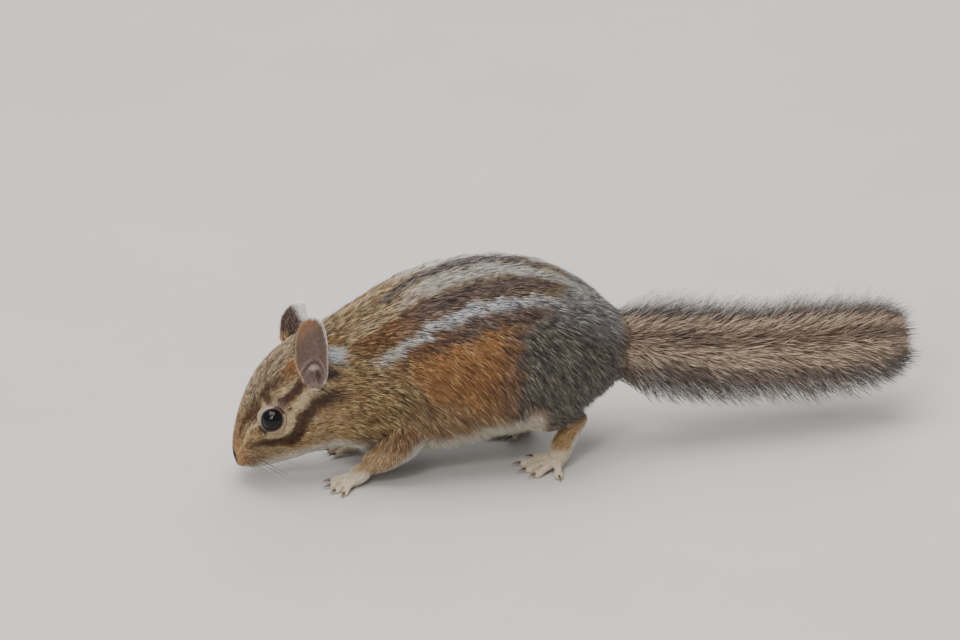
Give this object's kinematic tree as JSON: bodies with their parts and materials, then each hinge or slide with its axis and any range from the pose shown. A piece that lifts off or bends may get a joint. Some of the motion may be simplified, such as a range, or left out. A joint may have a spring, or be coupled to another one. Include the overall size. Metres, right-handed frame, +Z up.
{
  "type": "chipmunk",
  "caption": "Life-size model of a striped western chipmunk on all fours, nose to the ground, bushy tail held out behind.",
  "frame": {"origin": "middle of the bounding box's base, on the ground that the feet stand on", "axes": "+X from nose to tail tip, +Y towards the animal's right side, +Z up"},
  "size_m": [0.2134, 0.053, 0.0655],
  "materials": {
    "back_fur": "grizzled short fur with dark and pale stripes",
    "head_fur": "short grizzled fur with dark and cream stripes",
    "leg_fur": "short ochre fur",
    "foot_fur": "thin pale fur over skin, with dark claws",
    "tail_hair": "long soft hair with frosted tips",
    "bare_skin": "thin skin with a down of fine hair",
    "eye": "black, wet and glossy",
    "claw_horn": "dark brown horn, paler at the tips",
    "whisker": "stiff dark hairs that taper to a point"
  },
  "bodies": {
    "root": {"head": "head_fur", "neck": "back_fur", "torso": "back_fur", "eye_left": "eye", "ear_left": "bare_skin", "foreleg_left": "leg_fur", "hindleg_left": "back_fur", "forepaw_left": "foot_fur", "hindfoot_left": "foot_fur", "eye_right": "eye", "ear_right": "bare_skin", "foreleg_right": "leg_fur", "hindleg_right": "back_fur", "forepaw_right": "foot_fur", "hindfoot_right": "foot_fur", "tail_root": "tail_hair", "tail_middle": "tail_hair", "tail_brush": "tail_hair", "tail_end": "tail_hair"}
  },
  "joints": []
}
